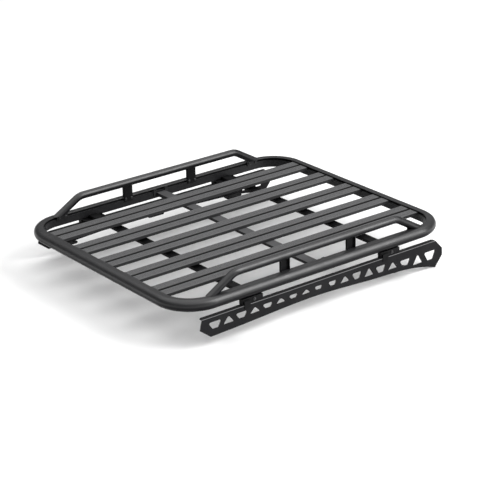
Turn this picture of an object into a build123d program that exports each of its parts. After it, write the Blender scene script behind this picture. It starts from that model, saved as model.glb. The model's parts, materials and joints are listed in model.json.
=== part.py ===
"""Roof cargo platform for a double-cab pickup: slatted deck, perimeter rail, side bars, legs and roof spines.

Millimetres. X is across the vehicle, +Y points to its front, +Z is up.
The origin is at the centre of the bounding box, level with the lowest corner of the two roof spines.
The left side is at -X and is the mirror image of the right side at +X.
"""

import math
import os

from build123d import *

# ---- heights -------------------------------------------------------------------------------
DECK_TOP = 204.0                      # walking surface of the planks above the lowest corner
CROSS_TOP = DECK_TOP - 15.0           # planks rest on the centre cross member
RAIL_TOP = DECK_TOP + 5.4
RAIL_BOTTOM = DECK_TOP - 46.0
FLANGE_TOP = DECK_TOP - 73.0          # top face of the roof spine, where the legs stand
BAR_AXIS_Z = DECK_TOP + 73.6

# ---- perimeter rail ------------------------------------------------------------------------
HALF_WIDTH = 630.0
HALF_LENGTH = 765.0
CORNER_R = 180.0                      # outer face of the rail at the four corners
RAIL_DEPTH = 46.0                     # outer face to flat inner wall
RAIL_R = (RAIL_TOP - RAIL_BOTTOM) / 2
RAIL_MID_Z = (RAIL_TOP + RAIL_BOTTOM) / 2
RAIL_WALL = 3.0
SEAM = 0.3                            # visible joint between the two rail halves
SLOT_MOUTH = 10.0
SLOT_CAVITY = 18.0
INNER_WALL_X = HALF_WIDTH - RAIL_DEPTH
SIDE_SLOT_Z = DECK_TOP - 3.5          # centre of the slot in the inner wall
FOOT_SLOT_IN = 26.0                   # centre of the bottom slot, in from the outer face
JOINER_HALF = 60.0                    # half the length of the bar inside each seam
JOINER_SCREW_Y = 30.0

# ---- planks --------------------------------------------------------------------------------
PLANKS = 5
PLANK_PITCH = 198.0
PLANK_WIDTH = 108.0
PLANK_THICK = 15.0
PLANK_HALF_LENGTH = 711.0
CAP_THICK = 5.0
PLANK_WALL = 2.5
PLANK_SLOT_TOP = 18.0                 # width over the bevelled lips
PLANK_SLOT_FLOOR = 9.5                # depth of the slot
PLANK_THREAD = 4.5                    # depth of the blind holes in the underside
PLANK_HOLLOWS = ((12.0, 30.0), (32.5, PLANK_WIDTH / 2 - PLANK_WALL))
GRIP_LINES = (17.0, 24.0, 31.0, 38.0, 45.0)

# ---- cross members -------------------------------------------------------------------------
CENTER_WIDTH = 50.0
CENTER_HEIGHT = 15.0
CROSSBAR_WIDTH = 46.0
CROSSBAR_HEIGHT = 14.0
CROSSBAR_BOLT_X = 570.0
LEG_Y = 390.0                         # legs and crossbars, ahead of and behind the centre

# ---- side bars -----------------------------------------------------------------------------
BAR_X = 586.7
BAR_DIA = 35.0
BAR_WALL = 2.5
BAR_BEND_Y = 457.0                    # where the straight top run meets the sloping end run
BAR_SLOPE = math.radians(30.3)
BAR_BEND_R = 80.0
BAR_END_Z = RAIL_TOP - 1.0
POST_Y = 186.5
POST_WIDTH = 50.0
POST_T = 4.0
POST_OUT_X = 593.5                    # outer edge of a post's folded flanges, above the rail
PLATE = 5.0                           # end tabs
PLATE_X = INNER_WALL_X - 0.3          # outer face of a plate bolted to the inner wall
TAB_BACK = 16.0                       # centre of an end tab, in from the end of the bar's axis
TAB_BOLT_PITCH = 18.0
POST_BOLT_PITCH = 16.0

# ---- legs ----------------------------------------------------------------------------------
LEG_LENGTH = 112.0
LEG_IN_X = 556.0
LEG_OUT_X = 622.0
LEG_BOLT_PITCH = 36.0                 # rail and base bolts, ahead of and behind the middle of a leg
LEG_BASE_BOLT_X = 609.5
LEG_BOLT_Z = (FLANGE_TOP + RAIL_BOTTOM) / 2 + 1

# ---- roof spines ---------------------------------------------------------------------------
SPINE_X = 626.6                       # outer face of the web
SPINE_T = 3.0
FLANGE_WIDTH = 24.6
SPINE_ENDS = [(-661, 73), (-672, 120)]                            # rear top, rear middle
SPINE_FRONT = [(706, 153), (705, 118), (663, 73)]                 # front lower, front middle, front top
SPINE_BOTTOM = [(-617, 162), (-340, 151), (-20, 141.5), (300, 157.5), (500, 168), (664, 204)]
SPINE_WAIST_Y = 10.0                                              # where the web is at its lowest height
OPENING_ROWS = [(-594.5, 70.25, 9), (47.5, 70.4, 6), (476, 75.75, 3)]  # first opening, pitch and number
OPENING_TOP = 97.0                    # upper edges below the deck; they step down by OPENING_STEP at the front
OPENING_STEP = 19.0
OPENING_LOWEST = 158.0
OPENING_R = 6.0

# ---- roof feet -----------------------------------------------------------------------------
FOOT_YS = {"rear": -520.0, "middle": -20.0, "front": 455.0}
FOOT_LENGTH = 92.0
FOOT_WIDTH = 34.0
FOOT_T = 4.0
FOOT_UPSTAND = 10.0
FOOT_HOLE_SPACING = 60.0
FOOT_HOLE_DIA = 9.0
FOOT_HOLE_X = 605.0
PAD_T = 3.0
FOOT_BASES = {"rear": 45.0, "middle": 62.5, "front": 38.5}        # underside of each pair of pads

# ---- fasteners -----------------------------------------------------------------------------
M8 = 8.0
M6 = 6.0
M5 = 5.0
CLEAR = 0.2

os.makedirs("parts", exist_ok=True)


# ---- helpers -------------------------------------------------------------------------------
def box(x0, x1, y0, y1, z0, z1):
    """A block between two corners."""
    return Pos((x0 + x1) / 2, (y0 + y1) / 2, (z0 + z1) / 2) * Box(x1 - x0, y1 - y0, z1 - z0)


def rect(x0, x1, z0, z1):
    """A rectangle of a section, between two corners."""
    return Pos((x0 + x1) / 2, (z0 + z1) / 2) * Rectangle(x1 - x0, z1 - z0)


def along_y(section, y0, y1):
    """A section drawn as (x, z), run from y0 to y1."""
    return Pos(0, y1, 0) * extrude(Plane.XZ * section, amount=y1 - y0)


def rod(x, y, z, dia, length, direction="z"):
    """A round bar that starts at a point and runs in +X, -X, +Z or -Z."""
    turns = {"z": (0, 0, 0), "-z": (180, 0, 0), "x": (0, 90, 0), "-x": (0, -90, 0)}
    return Pos(x, y, z) * Rot(*turns[direction]) * extrude(Circle(dia / 2), amount=length)


def button_screw(x, y, z, dia, length, direction, head=None):
    """A domed screw with a hexagon socket. The shank points in the direction, the head backs the other way."""
    head_dia = head or dia * 1.75
    head_height = dia * 0.55
    profile = make_face(
        Line((0, -length), (dia / 2, -length))
        + Line((dia / 2, -length), (dia / 2, 0))
        + Line((dia / 2, 0), (head_dia / 2, 0))
        + Line((head_dia / 2, 0), (head_dia / 2, head_height * 0.35))
        + ThreePointArc(
            (head_dia / 2, head_height * 0.35), (head_dia * 0.40, head_height * 0.78), (head_dia * 0.2, head_height)
        )
        + Line((head_dia * 0.2, head_height), (0, head_height))
        + Line((0, head_height), (0, -length))
    )
    body = revolve(Plane.XZ * profile, Axis.Z)
    socket = Pos(0, 0, head_height - dia * 0.3) * extrude(RegularPolygon(dia * 0.3, 6), amount=dia)
    body = body - socket
    turns = {"-z": (0, 0, 0), "z": (180, 0, 0), "x": (0, -90, 0), "-x": (0, 90, 0)}
    return Pos(x, y, z) * Rot(*turns[direction]) * body


def hex_nut(x, y, z, across, thick, bore, direction="z"):
    """A hexagon nut or a square-shouldered slot nut, from a point along +Z or +X."""
    turns = {"z": (0, 0, 0), "x": (0, 90, 0), "-x": (0, -90, 0), "-z": (180, 0, 0)}
    body = extrude(RegularPolygon(across / 2, 6, major_radius=False) - Circle(bore / 2), amount=thick)
    return Pos(x, y, z) * Rot(*turns[direction]) * body


def mirrored(shape):
    """The same piece on the left side."""
    return mirror(shape, about=Plane.YZ)


def write(name, solids):
    """One STEP file per named sub-part, with its solids side by side."""
    pieces = solids if isinstance(solids, list) else [solids]
    shells = [s for piece in pieces for s in piece.solids()]
    export_step(shells[0] if len(shells) == 1 else Compound(children=shells), f"parts/{name}.step")


# ---- perimeter rail ------------------------------------------------------------------------
def rail_section():
    """Section of the rail, drawn inward from the outer face: half-round outside, flat inner wall, two slots."""
    mid = RAIL_R
    far = RAIL_DEPTH
    edge = 1.6
    bevel = 5.0
    outline = make_face(
        Line((mid, RAIL_TOP), (far - edge, RAIL_TOP))
        + Line((far - edge, RAIL_TOP), (far, RAIL_TOP - edge))
        + Line((far, RAIL_TOP - edge), (far, RAIL_BOTTOM + bevel))
        + Line((far, RAIL_BOTTOM + bevel), (far - bevel, RAIL_BOTTOM))
        + Line((far - bevel, RAIL_BOTTOM), (mid, RAIL_BOTTOM))
        + ThreePointArc((mid, RAIL_BOTTOM), (0, RAIL_MID_Z), (mid, RAIL_TOP))
    )
    bore = RAIL_R - RAIL_WALL
    chamber_floor = RAIL_BOTTOM + 14.0
    chamber_wall = far - 16.0
    chamber_side = mid - math.sqrt(bore**2 - (RAIL_MID_Z - chamber_floor) ** 2)
    chamber = make_face(
        ThreePointArc((mid, RAIL_TOP - RAIL_WALL), (mid - bore, RAIL_MID_Z), (chamber_side, chamber_floor))
        + Line((chamber_side, chamber_floor), (chamber_wall, chamber_floor))
        + Line((chamber_wall, chamber_floor), (chamber_wall, RAIL_TOP - RAIL_WALL))
        + Line((chamber_wall, RAIL_TOP - RAIL_WALL), (mid, RAIL_TOP - RAIL_WALL))
    )
    side_mouth = rect(far - 4, far + 1, SIDE_SLOT_Z - SLOT_MOUTH / 2, SIDE_SLOT_Z + SLOT_MOUTH / 2)
    side_cavity = rect(far - 13, far - RAIL_WALL, SIDE_SLOT_Z - SLOT_CAVITY / 2, SIDE_SLOT_Z + SLOT_MOUTH / 2 + 1)
    foot_mouth = rect(FOOT_SLOT_IN - 5, FOOT_SLOT_IN + 5, RAIL_BOTTOM - 1, RAIL_BOTTOM + 4)
    foot_cavity = rect(FOOT_SLOT_IN - 9, FOOT_SLOT_IN + 9, RAIL_BOTTOM + RAIL_WALL, RAIL_BOTTOM + 11)
    core = rect(far - 13, far - RAIL_WALL, RAIL_BOTTOM + 13, SIDE_SLOT_Z - SLOT_CAVITY / 2 - RAIL_WALL)
    return outline - chamber - side_mouth - side_cavity - foot_mouth - foot_cavity - core, chamber


def rail_half(section, front):
    """Half of the perimeter: a side run, a corner, the end run, the other corner and the other side run."""
    turned = mirror(section, about=Plane.YZ)
    side = along_y(Pos(HALF_WIDTH, 0) * turned, SEAM / 2, HALF_LENGTH - CORNER_R)
    corner_x = HALF_WIDTH - CORNER_R
    corner_y = HALF_LENGTH - CORNER_R
    slice_at_corner = Pos(0, corner_y, 0) * (Plane.XZ * (Pos(HALF_WIDTH, 0) * turned))
    corner = revolve(slice_at_corner, Axis((corner_x, corner_y, 0), (0, 0, 1)), 90)
    end = Rot(0, 0, 90) * along_y(Pos(HALF_LENGTH, 0) * turned, -corner_x, corner_x)
    right = side + corner
    half = right + mirrored(right) + end
    drills = [
        rod(s * (HALF_WIDTH - FOOT_SLOT_IN), JOINER_SCREW_Y, RAIL_BOTTOM, M6 + 0.4, 16) for s in (1, -1)
    ]
    for drill in drills:
        half = half - drill
    return half if front else mirror(half, about=Plane.XZ)


def rail_joiner(chamber):
    """The bar inside the rail that ties the two halves together on one side."""
    inset = offset(chamber, -0.35)
    bar = along_y(Pos(HALF_WIDTH, 0) * mirror(inset, about=Plane.YZ), -JOINER_HALF, JOINER_HALF)
    for y in (-JOINER_SCREW_Y, JOINER_SCREW_Y):
        bar = bar - rod(HALF_WIDTH - FOOT_SLOT_IN, y, RAIL_BOTTOM + 10, M6 + 0.1, 14)
    return bar


def joiner_screws():
    """Two screws a side, up through the bottom slot of the rail into the joiner."""
    screws = []
    for side in (1, -1):
        for y in (-JOINER_SCREW_Y, JOINER_SCREW_Y):
            x = side * (HALF_WIDTH - FOOT_SLOT_IN)
            screws.append(button_screw(x, y, RAIL_BOTTOM + 10.9, M6, 12, "z", head=9.5))
    return screws


# ---- planks --------------------------------------------------------------------------------
def plank_section():
    """Deck plank: two ribbed strips with a bevelled slot between them, hollow under each strip."""
    half = PLANK_WIDTH / 2
    top = DECK_TOP
    body = rect(-half, half, top - PLANK_THICK, top)
    body = chamfer(body.vertices().group_by(Axis.Y)[-1], 1.5)
    lip = SLOT_MOUTH / 2
    throat = make_face(
        Polyline(
            (-PLANK_SLOT_TOP / 2, top + 1),
            (-PLANK_SLOT_TOP / 2, top),
            (-lip, top - 2),
            (-lip, top - 4),
            (lip, top - 4),
            (lip, top - 2),
            (PLANK_SLOT_TOP / 2, top),
            (PLANK_SLOT_TOP / 2, top + 1),
            (-PLANK_SLOT_TOP / 2, top + 1),
        )
    )
    cavity = rect(-SLOT_CAVITY / 2, SLOT_CAVITY / 2, top - PLANK_SLOT_FLOOR, top - 3.6)
    body = body - throat - cavity
    for side in (-1, 1):
        for x0, x1 in PLANK_HOLLOWS:
            a, b = sorted((side * x0, side * x1))
            body = body - rect(a, b, top - PLANK_THICK + PLANK_WALL, top - PLANK_WALL)
        for x in GRIP_LINES:
            body = body - rect(side * x - 0.7, side * x + 0.7, top - 0.7, top + 1)
    return body


def plank_positions():
    """Centre lines of the planks across the deck."""
    return [PLANK_PITCH * (i - (PLANKS - 1) / 2) for i in range(PLANKS)]


def plank(x, section):
    """One plank, with a blind threaded hole in its floor at each of the three cross members."""
    body = along_y(Pos(x, 0) * section, -PLANK_HALF_LENGTH, PLANK_HALF_LENGTH)
    for y in (-LEG_Y, 0, LEG_Y):
        body = body - rod(x, y, DECK_TOP - PLANK_THICK - 1, M5 + 0.1, 1 + PLANK_THREAD)
    return body


def plank_cap(x, side):
    """Moulded end cap: bevelled top edge, a notch where the slot runs out, and four plugs in the plank's hollows."""
    half = PLANK_WIDTH / 2
    y0 = PLANK_HALF_LENGTH
    y1 = PLANK_HALF_LENGTH + CAP_THICK
    plate = box(-half, half, y0, y1, DECK_TOP - PLANK_THICK, DECK_TOP)
    front_edge = plate.edges().filter_by(Axis.X).sort_by(Axis.Z)[-2:].sort_by(Axis.Y)[-1]
    plate = chamfer(front_edge, 2.5)
    notch = SLOT_MOUTH / 2
    plate = plate - box(-notch, notch, y0 - 1, y1 + 1, DECK_TOP - PLANK_SLOT_FLOOR, DECK_TOP + 1)
    for sign in (-1, 1):
        for x0, x1 in PLANK_HOLLOWS:
            a, b = sorted((sign * x0, sign * x1))
            low = DECK_TOP - PLANK_THICK + PLANK_WALL + CLEAR
            plate = plate + box(a + CLEAR, b - CLEAR, y0 - 14, y0, low, DECK_TOP - PLANK_WALL - CLEAR)
    plate = Pos(x, 0, 0) * plate
    return plate if side > 0 else mirror(plate, about=Plane.XZ)


def plank_screws():
    """Screws from below: through the centre cross member, or a crossbar and its spacer, into each plank's floor."""
    screws = []
    tip = DECK_TOP - PLANK_THICK + PLANK_THREAD - 0.5
    for x in plank_positions():
        for y in (-LEG_Y, 0, LEG_Y):
            seat = CROSS_TOP - CENTER_HEIGHT if y == 0 else RAIL_BOTTOM
            screws.append(button_screw(x, y, seat, M5, tip - seat, "z", head=9.4))
    return screws


# ---- cross members -------------------------------------------------------------------------
def center_crossmember():
    """Hollow bar under the middle of the planks, with a flat top and bevelled lower edges."""
    half = CENTER_WIDTH / 2
    section = rect(-half, half, CROSS_TOP - CENTER_HEIGHT, CROSS_TOP)
    section = chamfer(section.vertices().group_by(Axis.Y)[0], 3)
    for side in (-1, 1):
        a, b = sorted((side * 5.0, side * (half - 3)))
        section = section - rect(a, b, CROSS_TOP - CENTER_HEIGHT + 2.5, CROSS_TOP - 2.5)
    bar = Rot(0, 0, 90) * along_y(section, -(INNER_WALL_X - 4), INNER_WALL_X - 4)
    for x in plank_positions():
        bar = bar - rod(x, 0, CROSS_TOP - 20, M5 + 0.1, 24)
    return bar


def center_brackets():
    """Angle brackets under each end of the centre cross member, bolted into the slot of the inner wall."""
    brackets = []
    top = CROSS_TOP - CENTER_HEIGHT
    for side in (1, -1):
        shelf = box(INNER_WALL_X - 48, INNER_WALL_X - 0.3, -22, 22, top - 4, top)
        ears = None
        for y in (-32.5, 32.5):
            ear = box(INNER_WALL_X - 4.3, INNER_WALL_X - 0.3, y - 7, y + 7, top - 4, SIDE_SLOT_Z + 8)
            ears = ear if ears is None else ears + ear
        foot = box(INNER_WALL_X - 4.3, INNER_WALL_X - 0.3, -39, 39, top - 4, top)
        angle = shelf + ears + foot
        for y in (-32.5, 32.5):
            angle = angle - rod(INNER_WALL_X - 8, y, SIDE_SLOT_Z, M6 + 0.4, 10, "x")
        for x in (INNER_WALL_X - 34, INNER_WALL_X - 16):
            angle = angle - rod(x, 12, top - 6, M6 + 0.4, 8)
        brackets.append(angle if side > 0 else mirrored(angle))
    return brackets


def crossbar(y):
    """Flat dark crossbar that ties a left leg to a right leg and carries the planks on spacers."""
    half = CROSSBAR_WIDTH / 2
    low = RAIL_BOTTOM
    section = rect(-half, half, low, low + CROSSBAR_HEIGHT)
    section = fillet(section.vertices().group_by(Axis.Y)[-1], 3)
    for side in (-1, 1):
        a, b = sorted((side * 5.0, side * (half - 2.5)))
        section = section - rect(a, b, low + 2.5, low + CROSSBAR_HEIGHT - 2.5)
    bar = Rot(0, 0, 90) * along_y(section, -(INNER_WALL_X - 1), INNER_WALL_X - 1)
    bar = Pos(0, y, 0) * bar
    for x in plank_positions():
        bar = bar - rod(x, y, low - 2, M5 + 0.1, CROSSBAR_HEIGHT + 4)
    for side in (-1, 1):
        bar = bar - rod(side * CROSSBAR_BOLT_X, y, low - 2, M8 + 0.1, CROSSBAR_HEIGHT - 2)
    return bar


def plank_spacers(y):
    """Blocks that fill the height between a crossbar and the planks above it."""
    spacers = []
    low = RAIL_BOTTOM + CROSSBAR_HEIGHT
    for x in plank_positions():
        block = box(x - 20, x + 20, y - 18, y + 18, low, DECK_TOP - PLANK_THICK)
        block = fillet(block.edges().filter_by(Axis.Z), 5)
        spacers.append(block - rod(x, y, low - 1, M5 + 0.3, 30))
    return spacers


# ---- side bars and posts -------------------------------------------------------------------
def bar_end_y():
    """Where the axis of the sloping end run reaches the top of the rail."""
    return BAR_BEND_Y + (BAR_AXIS_Z - BAR_END_Z) / math.tan(BAR_SLOPE)


def bar_path(overshoot):
    """Centre line of the side bar: sloping end, bend, straight top run, bend, sloping end."""
    y_end = bar_end_y() + overshoot
    z_end = BAR_AXIS_Z - (y_end - BAR_BEND_Y) * math.tan(BAR_SLOPE)
    points = [(-y_end, z_end), (-BAR_BEND_Y, BAR_AXIS_Z), (BAR_BEND_Y, BAR_AXIS_Z), (y_end, z_end)]
    return FilletPolyline(*[(BAR_X, y, z) for y, z in points], radius=BAR_BEND_R)


def side_bar():
    """Bent tube along the right edge, cut level at the rail, with a welded tab at each end."""
    path = bar_path(30)
    start = Plane(origin=path @ 0, z_dir=path % 0)
    tube = sweep(start * (Circle(BAR_DIA / 2) - Circle(BAR_DIA / 2 - BAR_WALL)), path=path)
    tube = tube - box(BAR_X - 40, BAR_X + 40, -700, 700, DECK_TOP - 80, RAIL_TOP + 0.6)
    bar = tube
    for side in (1, -1):
        bar = bar + end_tab(side)
    return bar


def end_tab(side):
    """Plate below the end of the side bar, bolted to the inner wall of the rail."""
    y_mid = bar_end_y() - TAB_BACK
    outline = make_face(
        Polyline(
            (y_mid - 30, SIDE_SLOT_Z - 14),
            (y_mid + 30, SIDE_SLOT_Z - 14),
            (y_mid + 30, SIDE_SLOT_Z + 9.6),
            (y_mid - 8, SIDE_SLOT_Z + 32),
            (y_mid - 30, SIDE_SLOT_Z + 24),
            (y_mid - 30, SIDE_SLOT_Z - 14),
        )
    )
    outline = fillet(outline.vertices(), 4)
    tab = Pos(PLATE_X - PLATE, 0, 0) * extrude(Plane.YZ * outline, amount=PLATE)
    for y in (y_mid - TAB_BOLT_PITCH, y_mid + TAB_BOLT_PITCH):
        tab = tab - rod(PLATE_X - 10, y, SIDE_SLOT_Z, M8 + 0.4, 12, "x")
    return tab if side > 0 else mirror(tab, about=Plane.XZ)


def post(y):
    """Folded post: a face bolted to the inner wall, two flanges that stand over the rail, a saddle under the bar."""
    half = POST_WIDTH / 2
    low = SIDE_SLOT_Z - 14
    over_rail = RAIL_TOP + 0.3
    x0 = PLATE_X - POST_T
    upright = box(x0, PLATE_X, y - half, y + half, low, BAR_AXIS_Z)
    for y0 in (y - half, y + half - POST_T):
        upright = upright + box(x0, POST_OUT_X, y0, y0 + POST_T, over_rail, BAR_AXIS_Z)
    folds = [e for e in upright.edges().filter_by(Axis.Z) if e.center().X < x0 + 0.1]
    upright = fillet(folds, 3.5)
    saddle = Pos(BAR_X, y, BAR_AXIS_Z) * Rot(90, 0, 0) * Cylinder(BAR_DIA / 2 + 0.2, POST_WIDTH + 4)
    upright = upright - saddle
    for dy in (-POST_BOLT_PITCH, POST_BOLT_PITCH):
        upright = upright - rod(x0 - 2, y + dy, SIDE_SLOT_Z, M8 + 0.4, 12, "x")
    return upright.solids().sort_by(Axis.Z)[0]


def slot_bolts():
    """Bolts through posts and tabs into the rail's side slot, and the slot nuts that they pull on."""
    bolts = []
    nuts = []
    seats = []
    for side in (1, -1):
        y_mid = bar_end_y() - TAB_BACK
        for y in (POST_Y - POST_BOLT_PITCH, POST_Y + POST_BOLT_PITCH):
            seats.append((y * side, POST_T))
        for y in (y_mid - TAB_BOLT_PITCH, y_mid + TAB_BOLT_PITCH):
            seats.append((y * side, PLATE))
    for y, plate in seats:
        x = PLATE_X - plate
        right_bolt = button_screw(x, y, SIDE_SLOT_Z, M8, plate + 10, "x")
        right_nut = slot_nut(INNER_WALL_X + RAIL_WALL + CLEAR, y)
        bolts += [right_bolt, mirrored(right_bolt)]
        nuts += [right_nut, mirrored(right_nut)]
    return bolts, nuts


def slot_nut(x, y):
    """A block nut behind the lips of the rail's side slot."""
    z0 = SIDE_SLOT_Z - SLOT_CAVITY / 2 + CLEAR
    z1 = SIDE_SLOT_Z + SLOT_MOUTH / 2 + 1 - CLEAR
    nut = box(x, x + 6, y - 9, y + 9, z0, z1)
    return nut - rod(x - 1, y, SIDE_SLOT_Z, M8 + 0.1, 8, "x")


# ---- legs ----------------------------------------------------------------------------------
def leg(y):
    """Low bracket between the rail and the roof spine, with a clamp lug over the folded edge of the spine."""
    half = LEG_LENGTH / 2
    head = box(LEG_IN_X, LEG_OUT_X, y - half, y + half, RAIL_BOTTOM - 4, RAIL_BOTTOM)
    base = box(SPINE_X - FLANGE_WIDTH, LEG_OUT_X, y - half, y + half, FLANGE_TOP, FLANGE_TOP + 4)
    wall = box(LEG_OUT_X - 6, LEG_OUT_X, y - half, y + half, FLANGE_TOP, RAIL_BOTTOM)
    ribs = [
        box(SPINE_X - FLANGE_WIDTH, LEG_OUT_X, y + dy - 3, y + dy + 3, FLANGE_TOP, RAIL_BOTTOM)
        for dy in (-half + 3, -12, 24, half - 3)
    ]
    body = head + base + wall
    for rib in ribs:
        body = body + rib
    lug = box(LEG_OUT_X - 1, SPINE_X + 3.2, y - 48, y - 16, FLANGE_TOP + 0.3, RAIL_BOTTOM - 9)
    lug = lug + box(SPINE_X + 0.3, SPINE_X + 3.2, y - 48, y - 16, FLANGE_TOP - 15, RAIL_BOTTOM - 9)
    body = body + lug
    corners = [e for e in body.edges().filter_by(Axis.Z) if e.center().X < LEG_IN_X + 0.1]
    body = fillet(corners, 8)
    for dy in (-LEG_BOLT_PITCH, LEG_BOLT_PITCH):
        body = body - rod(HALF_WIDTH - FOOT_SLOT_IN, y + dy, RAIL_BOTTOM - 6, M8 + 0.4, 8)
        body = body - rod(LEG_BASE_BOLT_X, y + dy, FLANGE_TOP - 2, M8 + 0.4, 8)
    body = body - rod(CROSSBAR_BOLT_X, y, RAIL_BOTTOM - 6, M8 + 0.4, 8)
    body = body - rod(LEG_OUT_X - 8, y + 10, LEG_BOLT_Z, M8 + 0.4, 10, "x")
    return body


def leg_fasteners():
    """Slot bolts up into the rail, bolts up into the crossbar, base bolts with nuts, and outer clamp bolts."""
    rail_bolts = []
    rail_nuts = []
    base_bolts = []
    base_nuts = []
    clamp_bolts = []
    for y in (-LEG_Y, LEG_Y):
        for dy in (-LEG_BOLT_PITCH, LEG_BOLT_PITCH):
            x = HALF_WIDTH - FOOT_SLOT_IN
            bolt = button_screw(x, y + dy, RAIL_BOTTOM - 4, M8, 11, "z")
            nut = box(x - 8.7, x + 8.7, y + dy - 9, y + dy + 9, RAIL_BOTTOM + RAIL_WALL, RAIL_BOTTOM + 10)
            nut = nut - rod(x, y + dy, RAIL_BOTTOM, M8 + 0.1, 14)
            rail_bolts += [bolt, mirrored(bolt)]
            rail_nuts += [nut, mirrored(nut)]
            base = button_screw(LEG_BASE_BOLT_X, y + dy, FLANGE_TOP + 4, M8, 14, "-z", head=13)
            under = hex_nut(LEG_BASE_BOLT_X, y + dy, FLANGE_TOP - SPINE_T - 6.5, 13, 6.5, M8 + 0.1)
            base_bolts += [base, mirrored(base)]
            base_nuts += [under, mirrored(under)]
        bar_bolt = button_screw(CROSSBAR_BOLT_X, y, RAIL_BOTTOM - 4, M8, 12, "z")
        rail_bolts += [bar_bolt, mirrored(bar_bolt)]
        clamp = button_screw(LEG_OUT_X, y + 10, LEG_BOLT_Z, M8, 10, "-x", head=16)
        clamp_bolts += [clamp, mirrored(clamp)]
    return rail_bolts, rail_nuts, base_bolts, base_nuts, clamp_bolts


# ---- roof spines ---------------------------------------------------------------------------
def web_depth(y):
    """Depth of the lower edge of the spine below the deck, at a place along it."""
    for (y0, d0), (y1, d1) in zip(SPINE_BOTTOM, SPINE_BOTTOM[1:]):
        if y <= y1:
            return d0 + (d1 - d0) * (y - y0) / (y1 - y0)
    return SPINE_BOTTOM[-1][1]


def share(y, y0, y1):
    """How far y is from y0 to y1, held between 0 and 1."""
    return min(max((y - y0) / (y1 - y0), 0), 1)


def opening(y, pointing_up):
    """One lightening hole: a triangle on its base, or a trapezoid with its short side down."""
    from_waist = abs(y - SPINE_WAIST_Y)
    top = OPENING_TOP + OPENING_STEP * share(y, 220, 490)
    strip = 32 - 10 * share(y, -240, 250)
    low = min(web_depth(y) - strip, OPENING_LOWEST)
    if pointing_up:
        y += 2.5
        half = 25 + 0.006 * from_waist
        points = [(y - half, -low), (y + half, -low), (y + 4, -top), (y - 4, -top)]
        radius = OPENING_R / 2
    else:
        half = 25 + 0.0158 * from_waist
        tip = half * 0.42
        points = [(y - half, -top), (y + half, -top), (y + tip + 3, -low), (y - tip + 3, -low)]
        radius = OPENING_R
    face = make_face(Polyline(*[(p, DECK_TOP + z) for p, z in points + points[:1]]))
    return fillet(face.vertices(), radius)


def spine():
    """Right roof spine: pierced web with trimmed ends, a flange folded inward on top, and slots for the legs."""
    def at(y, depth):
        return (y, DECK_TOP - depth)

    rear = [at(*p) for p in SPINE_ENDS]
    front = [at(*p) for p in SPINE_FRONT]
    bottom = [at(*p) for p in SPINE_BOTTOM]
    outline = make_face(
        Polyline(rear[0], rear[1], bottom[0])
        + Spline(*bottom)
        + Polyline(bottom[-1], front[0], front[1], front[2])
        + Line(front[2], rear[0])
    )
    for first, pitch, number in OPENING_ROWS:
        for i in range(number):
            outline = outline - opening(first + i * pitch, i % 2 == 1)
    web = Pos(SPINE_X - SPINE_T, 0, 0) * extrude(Plane.YZ * outline, amount=SPINE_T)
    y0 = SPINE_ENDS[0][0]
    y1 = SPINE_FRONT[2][0]
    flange = box(SPINE_X - FLANGE_WIDTH, SPINE_X, y0, y1, FLANGE_TOP - SPINE_T, FLANGE_TOP)
    inner_corners = [e for e in flange.edges().filter_by(Axis.Z) if e.center().X < SPINE_X - 10]
    flange = chamfer(inner_corners, 8)
    body = web + flange
    fold = [
        e
        for e in body.edges().filter_by(Axis.Y)
        if abs(e.center().X - SPINE_X) < 0.1 and abs(e.center().Z - FLANGE_TOP) < 0.1
    ]
    body = fillet(fold, SPINE_T - 0.4)
    for y in (-LEG_Y, LEG_Y):
        for dy in (-LEG_BOLT_PITCH, LEG_BOLT_PITCH):
            body = body - rod(LEG_BASE_BOLT_X, y + dy, FLANGE_TOP - 6, M8 + 0.4, 8)
    return body


# ---- roof feet -----------------------------------------------------------------------------
def roof_foot(name):
    """Angle welded inside the web, with two holes for the vehicle's roof studs."""
    y = FOOT_YS[name]
    base = FOOT_BASES[name] + PAD_T
    half = FOOT_LENGTH / 2
    x1 = SPINE_X - SPINE_T
    plate = box(x1 - FOOT_WIDTH, x1, y - half, y + half, base, base + FOOT_T)
    upstand = box(x1 - FOOT_T, x1, y - half, y + half, base, base + FOOT_UPSTAND)
    inner = [e for e in plate.edges().filter_by(Axis.Z) if e.center().X < x1 - 10]
    foot = fillet(inner, 10) + upstand
    for dy in (-FOOT_HOLE_SPACING / 2, FOOT_HOLE_SPACING / 2):
        foot = foot - rod(FOOT_HOLE_X, y + dy, base - 1, FOOT_HOLE_DIA, FOOT_T + 2)
    return foot


def roof_pad(name):
    """Rubber pad under a roof foot."""
    y = FOOT_YS[name]
    half = FOOT_LENGTH / 2 - 2
    x1 = SPINE_X - SPINE_T
    base = FOOT_BASES[name]
    pad = box(x1 - FOOT_WIDTH + 2, x1 - 1, y - half, y + half, base, base + PAD_T)
    pad = fillet(pad.edges().filter_by(Axis.Z), 7)
    for dy in (-FOOT_HOLE_SPACING / 2, FOOT_HOLE_SPACING / 2):
        pad = pad - rod(FOOT_HOLE_X, y + dy, base - 1, FOOT_HOLE_DIA + 2, PAD_T + 2)
    return pad


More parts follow.
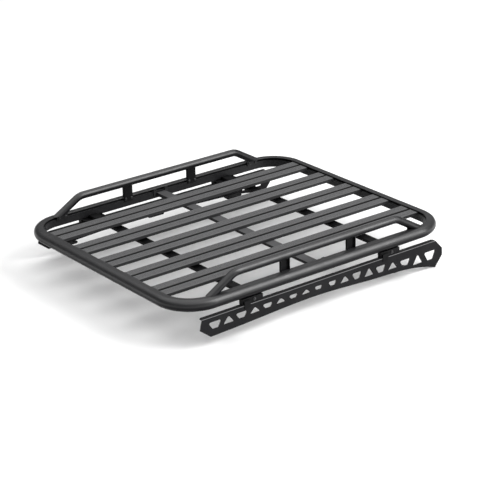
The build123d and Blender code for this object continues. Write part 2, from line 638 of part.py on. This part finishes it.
# ---- build ---------------------------------------------------------------------------------
def build():
    section, chamber = rail_section()
    write("perimeter_rail_front", rail_half(section, True))
    write("perimeter_rail_rear", rail_half(section, False))
    joiner = rail_joiner(chamber)
    write("rail_joiner_right", joiner)
    write("rail_joiner_left", mirrored(joiner))
    write("joiner_screws", joiner_screws())

    planks = plank_section()
    for number, x in enumerate(plank_positions(), 1):
        write(f"plank_{number}", plank(x, planks))
    write("plank_caps_front", [plank_cap(x, 1) for x in plank_positions()])
    write("plank_caps_rear", [plank_cap(x, -1) for x in plank_positions()])
    write("plank_screws", plank_screws())

    write("crossmember_center", center_crossmember())
    write("center_brackets", center_brackets())
    for name, y in (("rear", -LEG_Y), ("front", LEG_Y)):
        write(f"crossbar_{name}", crossbar(y))
        write(f"plank_spacers_{name}", plank_spacers(y))

    bar = side_bar()
    write("side_bar_right", bar)
    write("side_bar_left", mirrored(bar))
    for name, y in (("rear", -POST_Y), ("front", POST_Y)):
        upright = post(y)
        write(f"post_{name}_right", upright)
        write(f"post_{name}_left", mirrored(upright))
    bolts, nuts = slot_bolts()
    write("side_bar_bolts", bolts)
    write("side_slot_nuts", nuts)

    for name, y in (("rear", -LEG_Y), ("front", LEG_Y)):
        bracket = leg(y)
        write(f"leg_{name}_right", bracket)
        write(f"leg_{name}_left", mirrored(bracket))
    rail_bolts, rail_nuts, base_bolts, base_nuts, clamp_bolts = leg_fasteners()
    write("leg_rail_bolts", rail_bolts)
    write("leg_slot_nuts", rail_nuts)
    write("leg_base_bolts", base_bolts)
    write("leg_base_nuts", base_nuts)
    write("leg_clamp_bolts", clamp_bolts)

    right_spine = spine()
    write("spine_right", right_spine)
    write("spine_left", mirrored(right_spine))
    for name in FOOT_YS:
        foot = roof_foot(name)
        write(f"roof_feet_{name}", [foot, mirrored(foot)])
    pads = [roof_pad(name) for name in FOOT_YS]
    write("roof_pads", pads + [mirrored(pad) for pad in pads])


build()
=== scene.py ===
"""Looks of the roof cargo basket: coated rails, bars, legs and roof spines, ribbed planks, caps and bolts."""

import json
import math

import bpy
from mathutils import Matrix, Vector


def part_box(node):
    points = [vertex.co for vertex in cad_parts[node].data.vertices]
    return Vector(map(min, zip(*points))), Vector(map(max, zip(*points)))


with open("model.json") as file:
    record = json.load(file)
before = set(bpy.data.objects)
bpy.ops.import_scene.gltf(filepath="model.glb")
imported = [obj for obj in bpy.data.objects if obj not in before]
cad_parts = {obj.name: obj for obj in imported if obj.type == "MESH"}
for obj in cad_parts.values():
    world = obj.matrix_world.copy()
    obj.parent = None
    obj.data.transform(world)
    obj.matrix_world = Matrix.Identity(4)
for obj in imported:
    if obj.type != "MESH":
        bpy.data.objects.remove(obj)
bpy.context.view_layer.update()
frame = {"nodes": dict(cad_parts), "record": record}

# ---- camera, in metres, degrees and millimetres of lens ---------------------
CAMERA_AT = (6.19331, -4.72861, 3.32035)
CAMERA_AZIMUTH = 52.478
CAMERA_ELEVATION = 22.353
CAMERA_ROLL = -1.220
CAMERA_LENS = 137.89
SENSOR_WIDTH = 36.0
CLIP_END = 60.0


def add_camera():
    """The camera stands at its place and looks back along its azimuth and elevation."""
    azimuth = math.radians(CAMERA_AZIMUTH)
    elevation = math.radians(CAMERA_ELEVATION)
    roll = math.radians(CAMERA_ROLL)
    level = math.cos(elevation)
    back = Vector((math.sin(azimuth) * level, -math.cos(azimuth) * level, math.sin(elevation)))
    right = Vector((math.cos(azimuth), math.sin(azimuth), 0))
    up = back.cross(right)
    across = right * math.cos(roll) + up * math.sin(roll)
    upward = up * math.cos(roll) - right * math.sin(roll)
    data = bpy.data.cameras.new("camera")
    data.lens = CAMERA_LENS
    data.sensor_width = SENSOR_WIDTH
    data.clip_end = CLIP_END
    camera = bpy.data.objects.new("camera", data)
    turn = Matrix((across, upward, back)).transposed().to_4x4()
    camera.matrix_world = Matrix.Translation(CAMERA_AT) @ turn
    bpy.context.scene.collection.objects.link(camera)
    bpy.context.scene.camera = camera


# ---- material building -----------------------------------------------------
BEVEL_SAMPLES = 6
EDGE_GAIN = 6.0                          # how quickly a leaning normal counts as an edge
LOOKS_UP = [(0.55, 0.0), (0.85, 1.0)]    # ramp over the normal's Z

# Sockets of a Mix node that mixes colours.
MIX_FACTOR, MIX_A, MIX_B, MIX_RESULT = 0, 6, 7, 2


class Shader:
    """A node material with one Principled shader, and short calls for the nodes that feed it."""

    def __init__(self, name, color, roughness, metallic=0.0, specular=0.5):
        self.material = bpy.data.materials.new(name)
        self.material.use_nodes = True
        self.tree = self.material.node_tree
        self.main = self.tree.nodes["Principled BSDF"]
        self.surface("Base Color", color)
        self.surface("Roughness", roughness)
        self.surface("Metallic", metallic)
        self.surface("Specular IOR Level", specular)
        self.coords = self.tree.nodes.new("ShaderNodeTexCoord").outputs["Object"]

    def feed(self, socket, value):
        """Links a socket to another node's output, or sets it to a number, vector or (r, g, b) colour."""
        if isinstance(value, bpy.types.NodeSocket):
            self.tree.links.new(value, socket)
        elif socket.type == "RGBA":
            socket.default_value = (*value, 1)
        else:
            socket.default_value = value

    def surface(self, key, value):
        """Feeds one input of the Principled shader."""
        self.feed(self.main.inputs[key], value)

    def node(self, kind, **inputs):
        """A new node with the named inputs fed."""
        made = self.tree.nodes.new(kind)
        for key, value in inputs.items():
            self.feed(made.inputs[key], value)
        return made

    def scaled(self, x, y, z):
        """Object coordinates multiplied along the axes: the smaller the number, the longer the pattern."""
        return self.node("ShaderNodeMapping", Vector=self.coords, Scale=(x, y, z)).outputs["Vector"]

    def noise(self, scale, detail=2.0, vector=None):
        made = self.node("ShaderNodeTexNoise", Vector=vector or self.coords, Scale=scale, Detail=detail)
        return made.outputs["Fac"]

    def ramp(self, value, stops):
        """A colour ramp over grey levels: stops are (position, grey), in order."""
        made = self.node("ShaderNodeValToRGB", Fac=value)
        elements = made.color_ramp.elements
        for position, grey in stops[1:-1]:
            elements.new(position)
        for element, (position, grey) in zip(elements, stops):
            element.position = position
            element.color = (grey, grey, grey, 1)
        return made.outputs["Color"]

    def math(self, operation, *values):
        made = self.tree.nodes.new("ShaderNodeMath")
        made.operation = operation
        for socket, value in zip(made.inputs, values):
            self.feed(socket, value)
        return made.outputs["Value"]

    def mix(self, factor, a, b):
        """A colour between a and b. Either may be a socket or (r, g, b)."""
        made = self.tree.nodes.new("ShaderNodeMix")
        made.data_type = "RGBA"
        self.feed(made.inputs[MIX_FACTOR], factor)
        self.feed(made.inputs[MIX_A], a)
        self.feed(made.inputs[MIX_B], b)
        return made.outputs[MIX_RESULT]

    def tones(self, value, dark, light, start=0.35, end=0.7):
        """A colour that goes from dark to light as value goes from start to end."""
        return self.mix(self.ramp(value, [(start, 0.0), (end, 1.0)]), dark, light)

    def rough(self, value, low, high, end=0.75):
        """Roughness that goes from low to high as value goes from 0.3 to end."""
        self.surface("Roughness", self.ramp(value, [(0.3, low), (end, high)]))

    def rounded_normal(self, radius):
        """The surface's normal, turned near edges as if they had this radius."""
        bevel = self.node("ShaderNodeBevel", Radius=radius)
        bevel.samples = BEVEL_SAMPLES
        return bevel.outputs["Normal"]

    def edges(self, radius):
        """1 on edges and 0 on flats, from how far the rounded normal leans off the plain one."""
        geometry = self.tree.nodes.new("ShaderNodeNewGeometry")
        dot = self.tree.nodes.new("ShaderNodeVectorMath")
        dot.operation = "DOT_PRODUCT"
        self.feed(dot.inputs[0], self.rounded_normal(radius))
        self.feed(dot.inputs[1], geometry.outputs["Normal"])
        lean = self.math("SUBTRACT", 1.0, dot.outputs["Value"])
        return self.math("MINIMUM", self.math("MULTIPLY", lean, EDGE_GAIN), 1.0)

    def normal_z(self, kind):
        """Z of the Normal, or of the True Normal, which has no smoothing: 1 looks up and -1 looks down."""
        geometry = self.tree.nodes.new("ShaderNodeNewGeometry")
        return self.node("ShaderNodeSeparateXYZ", Vector=geometry.outputs[kind]).outputs["Z"]

    def facing_up(self):
        """1 on faces that look up and 0 on walls and undersides."""
        return self.ramp(self.normal_z("True Normal"), LOOKS_UP)

    def by_tilt(self, stops):
        """A ramp over how far the surface looks up: 0 straight down, 0.5 sideways, 1 straight up."""
        return self.ramp(self.math("MULTIPLY_ADD", self.normal_z("Normal"), 0.5, 0.5), stops)

    def groove(self, pitch, half_width):
        """1 within half_width of the planes that repeat across X at this pitch, and 0 elsewhere."""
        split = self.node("ShaderNodeSeparateXYZ", Vector=self.coords)
        off_center = self.math("PINGPONG", split.outputs["X"], pitch / 2)
        return self.math("LESS_THAN", off_center, half_width)

    def bump(self, layers, round_edges=0.0):
        """Bump layers as (height, strength, distance), over a normal that may have rounded edges."""
        normal = self.rounded_normal(round_edges) if round_edges else None
        for height, strength, distance in layers:
            made = self.node("ShaderNodeBump", Height=height, Strength=strength, Distance=distance)
            if normal:
                self.feed(made.inputs["Normal"], normal)
            normal = made.outputs["Normal"]
        self.surface("Normal", normal)


# ---- powder coats ------------------------------------------------------------
RUBBED_COAT = (0.30, 0.30, 0.305)
# Painted shade: undersides of the coats get this near-black colour and less specular.
PAINTED_UNDERSIDE_SHADE = (0.005, 0.005, 0.006)
UNDERSIDE_SPECULAR = 0.10

# Ramps over the tilt of the surface: all but the undersides, which get painted shade, and only the rounded
# edges between walls and tops, which get a painted highlight.
NOT_BELOW = [(0.44, 0.0), (0.62, 1.0)]
ROUNDED_EDGES = [(0.56, 0.0), (0.66, 0.9), (0.92, 0.9), (0.985, 0.0)]


def powder_coat(
    name,
    dark,
    light,
    roughness,
    grain=900.0,
    grain_depth=0.00012,
    wear=0.25,
    specular=0.5,
    painted_top_light=None,
    paint_underside_shade=False,
    painted_fold_highlight=None,
):
    """Powder coat: cloudy tone, light flecks, rubbed edges and a fine orange-peel grain.

    The colour for faces that look up paints them lighter, as painted light from above; the underside switch
    paints undersides nearly black with less specular, as painted shade; and the colour for the rounded edges
    between walls and tops is a painted highlight.
    """
    s = Shader(name, dark, roughness, specular=specular)
    cloud = s.tones(s.noise(5.0, 3.0), dark, light)
    fleck_color = tuple(min(c * 2.2, 1) for c in light)
    shown = s.mix(s.ramp(s.noise(grain * 1.6, 1.0), [(0.62, 0.0), (0.8, 0.5)]), cloud, fleck_color)
    # Faces that look up are painted lighter: painted light from above.
    if painted_top_light:
        shown = s.mix(s.facing_up(), shown, painted_top_light)
    patches = s.ramp(s.noise(60.0, 4.0), [(0.42, 0.0), (0.66, wear)])
    shown = s.mix(s.math("MULTIPLY", s.edges(0.0012), patches), shown, RUBBED_COAT)
    # Undersides are painted nearly black with less specular: painted shade.
    if paint_underside_shade:
        side = s.by_tilt(NOT_BELOW)
        shown = s.mix(side, PAINTED_UNDERSIDE_SHADE, shown)
        gain = specular - UNDERSIDE_SPECULAR
        s.surface("Specular IOR Level", s.math("MULTIPLY_ADD", side, gain, UNDERSIDE_SPECULAR))
    # A painted highlight on the rounded edges between walls and tops.
    if painted_fold_highlight:
        shown = s.mix(s.by_tilt(ROUNDED_EDGES), shown, painted_fold_highlight)
    s.surface("Base Color", shown)
    s.rough(s.noise(14.0, 4.0), roughness - 0.05, roughness + 0.08)
    fine = (s.noise(grain, 2.0), 0.35, grain_depth)
    coarse = (s.noise(grain * 0.22, 2.0), 0.15, grain_depth * 2)
    s.bump([fine, coarse], 0.0006)
    return s.material


POWDER_COATS = {
    "rail_coat": {
        "dark": (0.015, 0.015, 0.016),
        "light": (0.022, 0.022, 0.023),
        "roughness": 0.36,
        "wear": 0.12,
        "specular": 0.46,
        "paint_underside_shade": True,
    },
    "bar_coat": {
        "dark": (0.013, 0.013, 0.014),
        "light": (0.020, 0.020, 0.021),
        "roughness": 0.33,
        "wear": 0.12,
        "specular": 0.46,
        "paint_underside_shade": True,
    },
    "black_coat": {
        "dark": (0.003, 0.003, 0.0035),
        "light": (0.007, 0.007, 0.0075),
        "roughness": 0.5,
        "grain": 600.0,
        "grain_depth": 0.0002,
        "specular": 0.10,
    },
    "cross_coat": {
        "dark": (0.014, 0.014, 0.015),
        "light": (0.020, 0.020, 0.021),
        "roughness": 0.55,
        "specular": 0.2,
        # Painted light: the cross member's upward faces are lighter than its walls.
        "painted_top_light": (0.062, 0.062, 0.064),
    },
    "spine_coat": {
        "dark": (0.007, 0.007, 0.008),
        "light": (0.013, 0.013, 0.014),
        "roughness": 0.60,
        "grain": 420.0,
        "grain_depth": 0.0003,
        "wear": 0.3,
        "specular": 0.10,
        # Painted light: the spine's upward faces are lighter than its walls.
        "painted_top_light": (0.026, 0.026, 0.027),
        # Painted highlight along the spine's rounded edges between walls and tops.
        "painted_fold_highlight": (0.20, 0.20, 0.203),
    },
}

# ---- other finishes ------------------------------------------------------------
PLANK_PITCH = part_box("plank_2")[0][0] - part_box("plank_1")[0][0]
SLOT_SHADE = 0.0088                      # half the width of the painted shade along the slot in each plank's middle
PAINTED_SLOT_SHADE = (0.005, 0.005, 0.005)
PAINTED_PLANK_SIDE_SHADE = (0.016, 0.016, 0.017)
RUBBED_PLANK = (0.28, 0.28, 0.285)


def ribbed_plank(name):
    """Charcoal coat over extruded aluminium: fine lines along the plank, and painted shade that darkens its
    sides and blackens its slot.
    """
    s = Shader(name, (0.115, 0.115, 0.117), 0.5, specular=0.3)
    lines = s.noise(1.0, 3.0, s.scaled(420.0, 2.2, 420.0))
    broad = s.noise(1.0, 3.0, s.scaled(70.0, 0.9, 70.0))
    streaks = s.noise(1.0, 3.0, s.scaled(160.0, 5.0, 160.0))
    base = s.tones(lines, (0.072, 0.072, 0.074), (0.108, 0.108, 0.110), 0.3)
    base = s.mix(s.ramp(broad, [(0.35, 0.0), (0.7, 0.45)]), base, (0.090, 0.090, 0.092))
    patches = s.ramp(s.noise(55.0, 4.0), [(0.4, 0.05), (0.68, 0.3)])
    top = s.mix(s.math("MULTIPLY", s.edges(0.0008), patches), base, RUBBED_PLANK)
    # The plank's walls get a darker colour than its top: painted shade.
    shade = s.mix(s.facing_up(), PAINTED_PLANK_SIDE_SHADE, top)
    # The slot along each plank's middle is painted near black: painted shade in the recess.
    s.surface("Base Color", s.mix(s.groove(PLANK_PITCH, SLOT_SHADE), shade, PAINTED_SLOT_SHADE))
    s.rough(streaks, 0.42, 0.60)
    s.bump([(lines, 0.30, 0.00015), (s.noise(900.0, 2.0), 0.22, 0.00008)], 0.0004)
    return s.material


def moulded_plastic(name):
    """Black moulded plastic with a leathery spark-eroded grain."""
    s = Shader(name, (0.035, 0.035, 0.036), 0.55, specular=0.4)
    s.surface("Base Color", s.tones(s.noise(9.0, 3.0), (0.028, 0.028, 0.029), (0.046, 0.046, 0.047)))
    s.rough(s.noise(300.0, 2.0), 0.48, 0.64, 0.7)
    s.bump([(s.noise(700.0, 3.0), 0.3, 0.0001)], 0.0005)
    return s.material


def black_oxide(name):
    """Black oxide steel, worn a little brighter on the edges of heads and sockets."""
    s = Shader(name, (0.03, 0.03, 0.032), 0.42, metallic=0.7)
    base = s.tones(s.noise(120.0, 3.0), (0.02, 0.02, 0.021), (0.06, 0.06, 0.062))
    s.surface("Base Color", s.mix(s.math("MULTIPLY", s.edges(0.0006), 0.35), base, (0.32, 0.32, 0.33)))
    s.rough(s.noise(260.0, 3.0), 0.34, 0.52)
    s.bump([(s.noise(900.0, 2.0), 0.2, 0.00006)], 0.0003)
    return s.material


def zinc_steel(name):
    """Zinc-plated steel with faint spangle."""
    s = Shader(name, (0.5, 0.5, 0.51), 0.35, metallic=1.0)
    s.surface("Base Color", s.tones(s.noise(90.0, 4.0), (0.42, 0.42, 0.43), (0.62, 0.62, 0.63)))
    s.rough(s.noise(200.0, 3.0), 0.28, 0.46)
    s.bump([(s.noise(500.0, 2.0), 0.15, 0.00008)], 0.0004)
    return s.material


def mill_alloy(name):
    """Bare extruded aluminium with die lines along its length."""
    s = Shader(name, (0.7, 0.7, 0.72), 0.38, metallic=1.0)
    lines = s.noise(1.0, 3.0, s.scaled(600.0, 3.0, 600.0))
    s.surface("Base Color", s.tones(lines, (0.60, 0.60, 0.62), (0.76, 0.76, 0.78), 0.3))
    s.rough(lines, 0.3, 0.46, 0.7)
    s.bump([(lines, 0.2, 0.0001)], 0.0004)
    return s.material


def pad_rubber(name):
    """Matt black rubber with a dusty bloom."""
    s = Shader(name, (0.02, 0.02, 0.02), 0.85, specular=0.25)
    bloom = s.noise(40.0, 4.0)
    s.surface("Base Color", s.tones(bloom, (0.016, 0.016, 0.016), (0.04, 0.04, 0.039), 0.4, 0.75))
    s.rough(s.noise(200.0, 3.0), 0.78, 0.92, 0.7)
    s.bump([(s.noise(500.0, 3.0), 0.4, 0.0002)])
    return s.material


OTHER_FINISHES = {
    "plank_coat": ribbed_plank,
    "cap_plastic": moulded_plastic,
    "bolt_black": black_oxide,
    "nut_steel": zinc_steel,
    "joiner_alloy": mill_alloy,
    "pad_rubber": pad_rubber,
}


def paint_nodes():
    """Every CAD node stays, and gets the procedural material of its slot in the record."""
    materials = {name: powder_coat(name, **look) for name, look in POWDER_COATS.items()}
    materials.update({name: finish(name) for name, finish in OTHER_FINISHES.items()})
    slots = {part["node"]: part["material_slot"] for part in frame["record"]["subparts"]}
    for name, piece in frame["nodes"].items():
        material = materials[slots[name]]
        if not piece.material_slots:
            piece.data.materials.append(material)
        for slot in piece.material_slots:
            slot.material = material


# ---- floor and light -------------------------------------------------------
FLOOR_REACH = 30.0
FLOOR_COLOR = (0.86, 0.86, 0.86)
WORLD_STRENGTH = 0.16


def add_floor():
    mesh = bpy.data.meshes.new("floor")
    corners = [(-1, -1), (1, -1), (1, 1), (-1, 1)]
    mesh.from_pydata([(x * FLOOR_REACH, y * FLOOR_REACH, 0) for x, y in corners], [], [(0, 1, 2, 3)])
    floor = bpy.data.objects.new("floor", mesh)
    bpy.context.scene.collection.objects.link(floor)
    mesh.materials.append(Shader("floor", FLOOR_COLOR, 0.7, specular=0.2).material)


def area_light(name, at, aim, width, height, power):
    """A rectangular light of width by height metres, with power in watts."""
    data = bpy.data.lights.new(name, "AREA")
    data.shape = "RECTANGLE"
    data.size = width
    data.size_y = height
    data.energy = power
    light = bpy.data.objects.new(name, data)
    light.location = at
    light.rotation_euler = (Vector(aim) - Vector(at)).to_track_quat("-Z", "Y").to_euler()
    bpy.context.scene.collection.objects.link(light)


def add_lights():
    """A dim white world, a wide ceiling and one tall softbox beside the object."""
    world = bpy.data.worlds.new("studio")
    world.use_nodes = True
    background = world.node_tree.nodes["Background"]
    background.inputs["Color"].default_value = (1, 1, 1, 1)
    background.inputs["Strength"].default_value = WORLD_STRENGTH
    bpy.context.scene.world = world
    area_light("ceiling", at=(-1, 1, 9), aim=(-1, 1, 0), width=18, height=18, power=1750)
    area_light("softbox_wall", at=(5.2, 4, 4.3), aim=(0, 0, 0.6), width=3.6, height=6.5, power=620)
    bpy.context.scene.view_settings.view_transform = "Standard"


add_camera()
paint_nodes()
add_floor()
add_lights()
